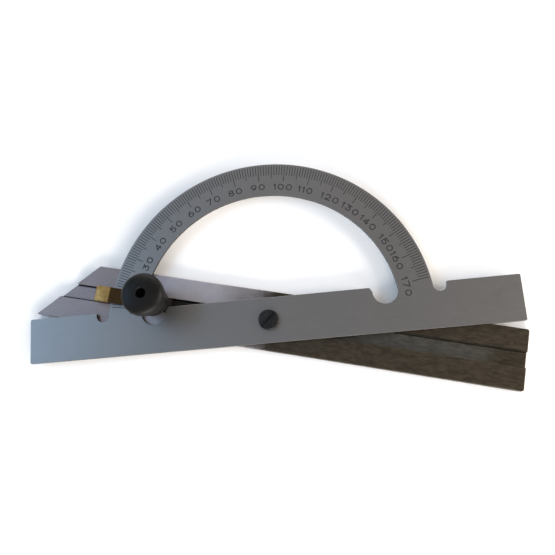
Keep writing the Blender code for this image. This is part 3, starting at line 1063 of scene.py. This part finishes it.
@dataclass
class ScalePlate:
    """Arm and half ring in one sheet, with engraved and filled graduations.

    The length, width, ring and levels come from the plain solid's box. Lengths are in millimetres.
    """

    ring_inner: float = 79.4
    corner: float = 1.0
    bay_radius: float = 7.6
    bay_height: float = 11.2
    bay_mouth: float = 61.8
    slot_radius: float = 3.9
    slot_height: float = 12.0
    slot_chamfer: float = 0.5
    bore_radius: float = 4.25
    edge_break: float = 0.14
    ring_points: int = 241
    rows: int = 7
    first_degree: int = 10
    last_degree: int = 170
    tick_start: float = 98.8
    tick_ends: dict[int, float] = field(default_factory=lambda: {10: 88.6, 5: 90.6, 1: 92.6})
    tick_width: float = 0.5
    cut_depth: float = 0.12
    cut_above: float = 0.1
    digit_radius: float = 83.25
    digit_height: float = 3.4
    digit_width: float = 3.2
    narrow_digit: float = 0.25
    digit_stroke: float = 0.8
    digit_gap: float = 1.15
    stamp_shift: dict[int, float] = field(default_factory=lambda: {
        70: -0.6, 80: -0.6, 90: -0.7, 110: -0.3, 120: 0.7, 130: 0.5, 150: 1.4, 170: 1.4})

    def __post_init__(self) -> None:
        """Read the length, width, ring radius and levels from the plain solid."""
        low, high = box_mm("scale_plate")
        self.half_length, self.ring_outer, self.front = high
        self.half_width, self.back = -low[1], low[2]

    @staticmethod
    def foot(height: float, reach: float) -> tuple[np.ndarray, float]:
        """A round bay or slot where the ring meets the arm.

        Its circle touches a circle of the ring, so the two meet on the line from the pivot to its
        centre.

        Args:
            height: height of its centre above the pivot.
            reach: distance of its centre from the pivot.

        Returns:
            Its centre, and the angle of that line in degrees.
        """
        centre = np.array([math.sqrt(reach ** 2 - height ** 2), height])
        return centre, math.degrees(math.asin(height / reach))

    def sheet(self) -> Shell:
        """The front face: the arm's outline as one flat face, and the ring as a ruled patch.

        Returns:
            An open shell at the front's height.
        """
        bay, bay_angle = self.foot(self.bay_height, self.ring_inner - self.bay_radius)
        slot, slot_angle = self.foot(self.slot_height, self.ring_outer + self.slot_radius)
        outer = arc((0, 0), self.ring_outer, slot_angle, 180 - slot_angle, self.ring_points)
        inner = arc((0, 0), self.ring_inner, bay_angle, 180 - bay_angle, self.ring_points)
        ring = ruled(outer, inner, self.rows, self.front)

        edge = self.half_width
        wall = slot[0] + self.slot_radius
        corner_x, corner_y = self.half_length - self.corner, edge - self.corner
        bay_side = bay[0] - self.bay_radius
        right = np.vstack([
            line((0, edge), (self.bay_mouth, edge), 9),
            line((self.bay_mouth, edge), (bay_side, bay[1]), 3)[1:],
            arc(bay, self.bay_radius, 180, 360 + bay_angle, 29)[1:],
            line(inner[0], outer[0], self.rows)[1:],
            arc(slot, self.slot_radius, 180 + slot_angle, 360, 21)[1:],
            [[wall, edge - self.slot_chamfer], [wall + self.slot_chamfer, edge]],
            line((wall + self.slot_chamfer, edge), (corner_x, edge), 7)[1:],
            arc((corner_x, corner_y), self.corner, 90, 0, 6)[1:],
            arc((corner_x, -corner_y), self.corner, 0, -90, 6)])
        outline = np.vstack([right, (right * [-1, 1])[:0:-1]])
        arm = Shell(at_height(outline, self.front), [list(range(len(outline)))])
        return arm.joined(ring).welded(PLATE_WELD_DIGITS)

    def cutters(self) -> Shell:
        """All cuts of the graduation: a line at each degree and the strokes of the numbers.

        Returns:
            The cutters' bodies, some of which cross each other.
        """
        top, floor = self.front + self.cut_above, self.front - self.cut_depth
        cuts = Shell(np.zeros((0, 3)), [])
        for degree in range(self.first_degree, self.last_degree + 1):
            turn = math.radians(180 - degree)
            out = np.array([math.cos(turn), math.sin(turn)])
            end = next(end for step, end in self.tick_ends.items() if degree % step == 0)
            path = line(out * self.tick_start, out * end, 2)
            cuts = cuts.joined(trough(path, self.tick_width, top, floor, False))
        for degree in range(self.first_degree, self.last_degree + 1, 10):
            for stroke in self.number(degree):
                cuts = cuts.joined(trough(stroke, self.digit_stroke, top, floor, True))
        return cuts

    def number(self, degree: int) -> list[np.ndarray]:
        """Strokes of one number, each digit standing upright on its own place on the arc.

        The numbers are stamped by hand, so some of them sit a little beside their line.

        Args:
            degree: the number.

        Returns:
            Strokes as arrays of (x, y) points.
        """
        digits = str(degree)
        stamped = degree + self.stamp_shift.get(degree, 0.0)
        widths = [self.digit_width * (self.narrow_digit if digit == "1" else 1.0)
                  for digit in digits]
        gap = self.digit_gap + self.digit_stroke
        total = sum(widths) + gap * (len(digits) - 1)
        middle = self.digit_radius + self.digit_height / 2
        strokes, start = [], -total / 2
        for digit, width in zip(digits, widths):
            turn = math.radians(180 - stamped) - (start + width / 2) / middle
            up = np.array([math.cos(turn), math.sin(turn)])
            right = np.array([math.sin(turn), -math.cos(turn)])
            for stroke in DIGIT_STROKES[digit]:
                across = stroke[:, :1] * self.digit_width - width / 2
                rise = stroke[:, 1:] * self.digit_height + self.digit_radius
                strokes.append(across * right + rise * up)
            start += width + gap
        return strokes

    def build(self) -> None:
        """Solid plate with broken edges, pivot bore and engraved graduations."""
        plate = make_piece("scale_plate_engraved", self.sheet(),
                           (SATIN_STEEL.material(), ENGRAVING_INK.material()))
        face_up(plate.data)
        solid = plate.modifiers.new("sheet_thickness", "SOLIDIFY")
        solid.thickness = (self.front - self.back) * MM
        solid.offset = -1.0
        settle(plate)
        soften(plate, self.edge_break)
        bore = round_cutter(self.bore_radius, self.back - 2, self.front + 2)
        carve(plate, make_piece("bore_tool", bore))
        graver = make_piece("graver_tool", self.cutters(), plate.data.materials)
        inked = np.ones(len(graver.data.polygons), np.int32)
        graver.data.polygons.foreach_set("material_index", inked)
        carve(plate, graver, tool_overlaps=True)
        shade(plate, SMOOTH_BELOW)
        commit(plate, Body.SCALE, "scale_plate")


# ------------------------------------------------------------------ blade


@dataclass
class Blade:
    """The flat bar with its dovetail groove and its slanted end. Lengths are in millimetres."""

    width: float = 36.0
    length: float = 298.0
    tip: float = -147.0
    tip_cut: float = 46.5
    groove_width: float = 9.0
    groove_depth: float = 2.4
    dovetail: float = 60.0
    corner: float = 0.8
    edge_break: float = 0.25

    def section(self) -> np.ndarray:
        """The bar's section, with the groove in its front face.

        Returns:
            An array of (V, Z) points.
        """
        low, high = box_mm("blade")
        edge, mouth = self.width / 2, self.groove_width / 2
        floor_z = high[2] - self.groove_depth
        floor = mouth + self.groove_depth / math.tan(math.radians(self.dovetail))
        right = [[edge, low[2]], [edge, high[2]], [mouth, high[2]], [floor, floor_z]]
        return np.array(right + [[-v, z] for v, z in reversed(right)])

    def build(self) -> None:
        """The section carried from the slanted end, U = tip + (V + edge) / tan(cut), to the last."""
        v, z = self.section().T
        edge = self.width / 2
        end = self.tip + self.length
        inset = np.clip(v, self.corner - edge, edge - self.corner)
        slanted = self.tip + (v + edge) / math.tan(math.radians(self.tip_cut))
        rings = [np.column_stack([slanted, v, z]),
                 np.column_stack([np.full(len(v), end - self.corner), v, z]),
                 np.column_stack([np.full(len(v), end), inset, z])]
        blade = make_piece("grooved_blade", lofted(rings).turned(BLADE_TURN),
                           (BLADE_FINISH.material(),))
        soften(blade, self.edge_break)
        commit(blade, Body.BLADE, "blade")


# ------------------------------------------------------------------ pivot


@dataclass
class Pivot:
    """Slotted screw and wavy spring washer in the middle of the arm. Lengths are in millimetres."""

    head_radius: float = 6.15
    shank_radius: float = 2.5
    shank_chamfer: float = 0.4
    head_height: float = 1.5
    head_chamfer: float = 0.15
    rim_round: float = 0.35
    slot_width: float = 1.6
    slot_depth: float = 0.9
    edge_break: float = 0.09
    wave: float = 0.12
    washer_round: float = 0.08

    def screw(self) -> None:
        """The screw: its crown is a flat dome that falls with the square of the radius."""
        low, high = box_mm("pivot_screw")
        foot, crown = low[2], high[2]
        seat = box_mm("pivot_washer")[1][2] + GAP
        rim = seat + self.head_height
        radii = np.linspace(self.head_radius - self.rim_round, 0.0, 12)
        dome = rim + (crown - rim) * (1 - (radii / self.head_radius) ** 2)
        turn = np.radians(np.linspace(0, 80, 5))
        edge = np.column_stack([self.head_radius - self.rim_round * (1 - np.cos(turn)),
                                rim - self.rim_round * (1 - np.sin(turn))])
        stem = [[0, foot], [self.shank_radius - self.shank_chamfer, foot],
                [self.shank_radius, foot + self.shank_chamfer], [self.shank_radius, seat],
                [self.head_radius - self.head_chamfer, seat],
                [self.head_radius, seat + self.head_chamfer]]
        profile = np.vstack([stem, edge, np.column_stack([radii, dome])])
        screw = make_piece("slotted_pivot_screw", revolved(profile, 72, False),
                           (BLACKED_STEEL.material(),))
        carve(screw, make_piece("slot_tool", self.slot(crown)))
        soften(screw, self.edge_break, 50.0)
        commit(screw, Body.CARRIER, "pivot_screw")

    def slot(self, crown: float) -> Shell:
        """The body that cuts the screw's slot, longer and higher than the head.

        Args:
            crown: height of the screw's highest point.

        Returns:
            A closed shell.
        """
        reach, half, floor = 2 * self.head_radius, self.slot_width / 2, crown - self.slot_depth
        section = np.array([[-half, floor], [half, floor], [half, crown + 1], [-half, crown + 1]])
        rings = [np.column_stack([np.full(4, end), section]) for end in (-reach, reach)]
        return lofted(rings).turned(SLOT_TURN)

    def washer(self) -> None:
        """The spring washer: height = flat section + half the wave times cos(3 angle)."""
        low, high = box_mm("pivot_washer")
        thick = (high[2] - low[2]) - self.wave
        middle = (low[2] + high[2]) / 2
        section = ring_section(self.shank_radius + GAP, high[0], middle - thick / 2,
                               middle + thick / 2, self.washer_round)
        shell = revolved(section, 72, True)
        angle = np.arctan2(shell.points[:, 1], shell.points[:, 0])
        shell.points[:, 2] += self.wave / 2 * np.cos(3 * angle)
        washer = make_piece("wave_washer", shell, (PLATED_STEEL.material(),))
        commit(washer, Body.CARRIER, "pivot_washer")


# ------------------------------------------------------------------ clamp


@dataclass
class Clamp:
    """Brass bridge over the ring, threaded stud and washer. Lengths are in millimetres."""

    half_width: float = 4.7
    bar_thickness: float = 2.6
    tongue_width: float = 8.4
    hole_radius: float = 3.3
    nose_reach: float = 7.0
    ramp_start: float = 92.5
    heel_inner: float = 100.6
    heel_outer: float = 110.2
    heel_chamfer: float = 1.5
    heel_clearance: float = 0.1
    edge_break: float = 0.35
    thread_pitch: float = 1.0
    thread_depth: float = 0.55
    thread_margin: float = 0.6
    thread_fade: float = 0.8
    washer_round: float = 0.16

    def __post_init__(self) -> None:
        """Find the stud's place and the bridge's levels from the plain solids."""
        low, high = box_mm("clamp_stud")
        self.stud = (low + high)[:2] / 2
        self.stud_radius = (high[0] - low[0]) / 2
        self.stud_low, self.stud_high = low[2], high[2]
        self.reach = float(np.linalg.norm(self.stud))
        self.front = box_mm("scale_plate")[1][2]
        self.under = self.front + GAP
        bridge_low, bridge_high = box_mm("clamp_bridge")
        self.tongue_low, self.heel_top = bridge_low[2], bridge_high[2]

    def bar_ring(self, along: float, half: float, top: float, low: float,
                 tongue: float) -> np.ndarray:
        """The bridge's section at one place: the bar, and a narrower tongue below it.

        Args:
            along: the place along the blade.
            half: half the bar's width.
            top: height of the bar's upper face.
            low: height of its lower face.
            tongue: height of the tongue's lower face.

        Returns:
            An array of (U, V, Z) points.
        """
        inner = min(half, self.tongue_width / 2)
        v = np.array([half, half, inner, inner, -inner, -inner, -half, -half])
        z = np.array([top, low, low, tongue, tongue, low, low, top])
        return np.column_stack([np.full(len(v), along), v, z])

    def bridge(self) -> None:
        """Round nose, flat bar, ramp and heel as one row of sections, with the stud's hole."""
        half, under, heel_top = self.half_width, self.under, self.heel_top
        top = under + self.bar_thickness
        nose_middle = -self.reach + self.nose_reach - half
        rings = [self.bar_ring(nose_middle + half * math.sin(turn), half * math.cos(turn),
                               top, under, under) for turn in np.radians(np.linspace(88, 0, 12))]
        heel_low = self.front + self.heel_clearance
        for along, high, low, tongue in (
                (-self.ramp_start, top, under, under),
                (-self.heel_inner, heel_top, under, under),
                (-self.heel_inner, heel_top, heel_low, self.tongue_low),
                (-self.heel_outer + self.heel_chamfer, heel_top, heel_low, self.tongue_low),
                (-self.heel_outer, heel_top - self.heel_chamfer, heel_low, self.tongue_low)):
            rings.append(self.bar_ring(along, half, high, low, tongue))
        bridge = make_piece("brass_clamp_bridge", lofted(rings).turned(BLADE_TURN),
                            (CLAMP_BRASS.material(),))
        hole = round_cutter(self.hole_radius, under - 3, top + 3)
        carve(bridge, make_piece("hole_tool", hole.moved(-self.reach).turned(BLADE_TURN)))
        soften(bridge, self.edge_break, 28.0)
        commit(bridge, Body.CARRIER, "clamp_bridge")

    def thread(self, turn: np.ndarray, height: np.ndarray) -> np.ndarray:
        """Depth of the groove: a triangle wave of height over pitch less angle over a turn.

        Args:
            turn: angles round the stud.
            height: heights on the stud.

        Returns:
            What is added to the radius, nothing at the two ends of the stud.
        """
        phase = (height / self.thread_pitch - turn / (2 * np.pi)) % 1.0
        from_low = height - self.stud_low - self.thread_margin
        from_high = self.stud_high - self.thread_margin - height
        fade = (np.clip(from_low / self.thread_fade, 0, 1)
                * np.clip(from_high / self.thread_fade, 0, 1))
        return -self.thread_depth * np.abs(2 * phase - 1) * fade

    def threaded_stud(self) -> None:
        """The stud, with chamfered ends."""
        low, high, radius = self.stud_low, self.stud_high, self.stud_radius
        heights = np.arange(low + self.thread_margin, high - self.thread_margin,
                            self.thread_pitch / 8)
        side = np.column_stack([np.full(len(heights), radius), heights])
        profile = np.vstack([[[0, low], [radius - 0.7, low], [radius - 0.35, low + 0.3]], side,
                             [[radius - 0.35, high - 0.3], [radius - 0.7, high], [0, high]]])
        shell = revolved(profile, 48, False, self.thread).moved(*self.stud)
        stud = make_piece("threaded_stud", shell, (PLATED_STEEL.material(),), 45.0)
        commit(stud, Body.CARRIER, "clamp_stud")

    def washer(self) -> None:
        """The flat washer under the knob, with rounded rims."""
        low, high = box_mm("clamp_washer")
        section = ring_section(self.hole_radius, (high[0] - low[0]) / 2, low[2], high[2],
                               self.washer_round)
        shell = revolved(section, 80, True).moved(*self.stud)
        washer = make_piece("knob_washer", shell, (PLATED_STEEL.material(),))
        commit(washer, Body.KNOB_FOOT, "clamp_washer")


# ------------------------------------------------------------------ knob


@dataclass
class Knob:
    """The moulded clamping knob with its open eye, and its bush. Lengths are in millimetres."""

    hub_radius: float = 9.3
    hub_height: float = 5.0
    foot_round: float = 0.7
    rim_height: float = 21.4
    fullness: float = 2.6
    crown_spacing: float = 1.3
    eye_radius: float = 3.0
    eye_lip: float = 0.6
    eye_floor: float = 2.3
    flutes: int = 40
    flute_depth: float = 0.12
    flute_drop: float = 0.6
    flute_reach: float = 3.0
    bush_radius: float = 5.0
    bush_bore: float = 3.3
    bush_round: float = 0.3

    def __post_init__(self) -> None:
        """Find the knob's axis, rim and levels from its solid."""
        low, high = box_mm("knob")
        self.axis = (low + high)[:2] / 2
        self.rim_radius = (high[0] - low[0]) / 2
        self.low, self.top = low[2], high[2]
        self.rim = self.low + self.rim_height
        self.waist_low = self.low + self.hub_height
        self.bush_low, self.bush_high = (corner[2] for corner in box_mm("knob_insert"))

    def profile(self) -> np.ndarray:
        """Closed section: foot, waist on half a cosine wave, crown, eye and bore.

        The crown is a full-shouldered oval: radius = rim cos^p(a), height = rise sin^p(a), with
        p = 2 / fullness.

        Returns:
            An array of (radius, height) points.
        """
        bore, ledge = self.bush_radius + GAP, self.bush_high + GAP
        foot_x, soft = self.hub_radius - self.foot_round, self.foot_round
        share = np.linspace(0, 1, 22)[1:]
        swell = (self.rim_radius - self.hub_radius) * (1 - np.cos(np.pi * share)) / 2
        waist = np.column_stack([self.hub_radius + swell,
                                 self.waist_low + (self.rim - self.waist_low) * share])
        power, mouth = 2 / self.fullness, self.eye_radius + self.eye_lip
        stop = math.acos((mouth / self.rim_radius) ** (1 / power))
        turn = stop * np.linspace(0, 1, 34)[1:] ** self.crown_spacing
        rise = (self.top - self.rim) / math.sin(stop) ** power
        crown = np.column_stack([self.rim_radius * np.cos(turn) ** power,
                                 self.rim + rise * np.sin(turn) ** power])
        shelf = self.bush_high + self.eye_floor
        return np.vstack([
            [[bore, self.low], [foot_x, self.low]], arc((foot_x, self.low + soft), soft, -90, 0, 5),
            [[self.hub_radius, self.waist_low]], waist, crown,
            arc((mouth, self.top - self.eye_lip), self.eye_lip, 100, 180, 5),
            [[self.eye_radius, shelf], [self.bush_bore, shelf],
             [self.bush_bore, ledge], [bore, ledge]]])

    def flute(self, turn: np.ndarray, height: np.ndarray) -> np.ndarray:
        """Depth of the flutes: deepest near the rim, none on the crown and the hub.

        Args:
            turn: angles round the knob.
            height: heights on the knob.

        Returns:
            What is added to the radius.
        """
        band = np.exp(-((height - self.rim + self.flute_drop) / self.flute_reach) ** 4)
        outside = height > self.waist_low
        return -self.flute_depth * (0.5 + 0.5 * np.cos(self.flutes * turn)) * band * outside

    def build(self) -> None:
        """The knob with shallow flutes round its widest part."""
        shell = revolved(self.profile(), self.flutes * 8, True, self.flute).moved(*self.axis)
        knob = make_piece("moulded_knob", shell, (BLACK_PHENOLIC.material(),), 40.0)
        commit(knob, Body.KNOB, "knob")

    def bush(self) -> None:
        """The brass bush, with rounded ends."""
        section = ring_section(self.bush_bore, self.bush_radius, self.bush_low, self.bush_high,
                               self.bush_round)
        shell = revolved(section, 64, True).moved(*self.axis)
        bush = make_piece("brass_bush", shell, (BUSH_BRASS.material(),))
        commit(bush, Body.KNOB, "knob_insert")


def dress_sliding_blocks() -> None:
    """Give the two plain blocks in the groove their machined finish, painted near black as shade."""
    for node in ("pivot_slider", "clamp_slider"):
        materials = frame["nodes"][node].data.materials
        materials.clear()
        materials.append(SLIDER_STEEL_PAINTED_SHADE.material())
        log.info("%s keeps its plain solid", node)


# ------------------------------------------------------------------ studio


@dataclass(frozen=True)
class Softbox:
    """A rectangular light: place and size in metres, power in watts, aimed at the tool."""

    name: str
    place: tuple[float, float, float]
    size: tuple[float, float]
    power: float
    colour: Colour

    def build(self, target: Vector) -> None:
        """Make the light and turn it to the target.

        Args:
            target: the place that it is aimed at, in metres.
        """
        light = bpy.data.lights.new(self.name, "AREA")
        light.shape = "RECTANGLE"
        light.size, light.size_y = self.size
        light.energy = self.power
        light.color = self.colour
        lamp = bpy.data.objects.new(self.name, light)
        lamp.location = self.place
        lamp.rotation_euler = (target - Vector(self.place)).to_track_quat("-Z", "Y").to_euler()
        bpy.context.scene.collection.objects.link(lamp)


@dataclass
class Studio:
    """Camera over the tool, pale floor and soft lights. Lengths are in metres."""

    camera_place: tuple[float, float, float] = (0.04471, -0.06718, 0.40231)
    camera_aim: tuple[float, float, float] = (0.00717, 0.02567, 0.0073)
    camera_roll: float = -4.34
    sensor: float = 36.0
    lens: float = 43.32
    floor_size: float = 6.0
    floor_depth: float = 0.0003
    floor_grey: float = 0.95
    light_aim: tuple[float, float, float] = (0.0, 0.02, 0.0)
    sky: Colour = (1.0, 0.965, 0.935)
    sky_strength: float = 0.36
    boxes: tuple[Softbox, ...] = (
        Softbox("window_left", (-0.95, 0.22, 0.80), (0.9, 0.9), 7.0, (0.40, 0.67, 1.0)),
        Softbox("window_back", (0.10, 1.10, 0.42), (1.2, 0.6), 8.0, (1.0, 0.96, 0.92)),
        Softbox("lamp_front", (0.10, -1.10, 0.42), (0.9, 0.6), 20.0, (1.0, 0.95, 0.90)),
        Softbox("lamp_right", (1.10, -0.10, 0.50), (0.8, 0.6), 14.0, (1.0, 0.91, 0.82)),
    )

    def camera(self) -> None:
        """A camera that looks from its place to its aim, rolled about its view axis."""
        data = bpy.data.cameras.new("view_camera")
        data.sensor_width = self.sensor
        data.lens = self.lens
        data.clip_start, data.clip_end = 0.01, 50.0
        camera = bpy.data.objects.new("view_camera", data)
        back = (Vector(self.camera_place) - Vector(self.camera_aim)).normalized()
        right = Vector((0.0, 1.0, 0.0)).cross(back).normalized()
        up = back.cross(right)
        roll = math.radians(self.camera_roll)
        x_axis = right * math.cos(roll) + up * math.sin(roll)
        y_axis = back.cross(x_axis)
        turn = Matrix((x_axis, y_axis, back)).transposed().to_4x4()
        camera.matrix_world = Matrix.Translation(self.camera_place) @ turn
        bpy.context.scene.collection.objects.link(camera)
        bpy.context.scene.camera = camera

    def floor(self) -> None:
        """A plain pale sheet just under the blade."""
        half, level = self.floor_size / 2 / MM, -self.floor_depth / MM
        corners = np.array([[-half, -half], [half, -half], [half, half], [-half, half]])
        paper, _, shader = blank_material("pale_floor")
        shader["Base Color"].default_value = (self.floor_grey,) * 3 + (1.0,)
        shader["Roughness"].default_value = 0.9
        shader["Specular IOR Level"].default_value = 0.1
        sheet = make_piece("floor_sheet", Shell(at_height(corners, level), [[0, 1, 2, 3]]),
                           (paper,), None)
        face_up(sheet.data)

    def light(self) -> None:
        """Even pale surroundings and the soft boxes."""
        world = bpy.data.worlds.new("studio_air")
        world.use_nodes = True
        air = world.node_tree.nodes["Background"]
        air.inputs["Color"].default_value = (*self.sky, 1.0)
        air.inputs["Strength"].default_value = self.sky_strength
        bpy.context.scene.world = world
        for box in self.boxes:
            box.build(Vector(self.light_aim))
        bpy.context.scene.view_settings.view_transform = "Standard"

    def build(self) -> None:
        """Camera first, then the floor and the lights."""
        self.camera()
        self.floor()
        self.light()


def main() -> None:
    """Build every sub-assembly in order and note the sizes."""
    logging.basicConfig(level=logging.INFO, format="%(name)s: %(message)s")
    Studio().build()
    ScalePlate().build()
    Blade().build()
    pivot = Pivot()
    pivot.washer()
    pivot.screw()
    clamp = Clamp()
    clamp.bridge()
    clamp.threaded_stud()
    clamp.washer()
    knob = Knob()
    knob.bush()
    knob.build()
    dress_sliding_blocks()
    bpy.context.view_layer.update()


if __name__ == "__main__":
    main()
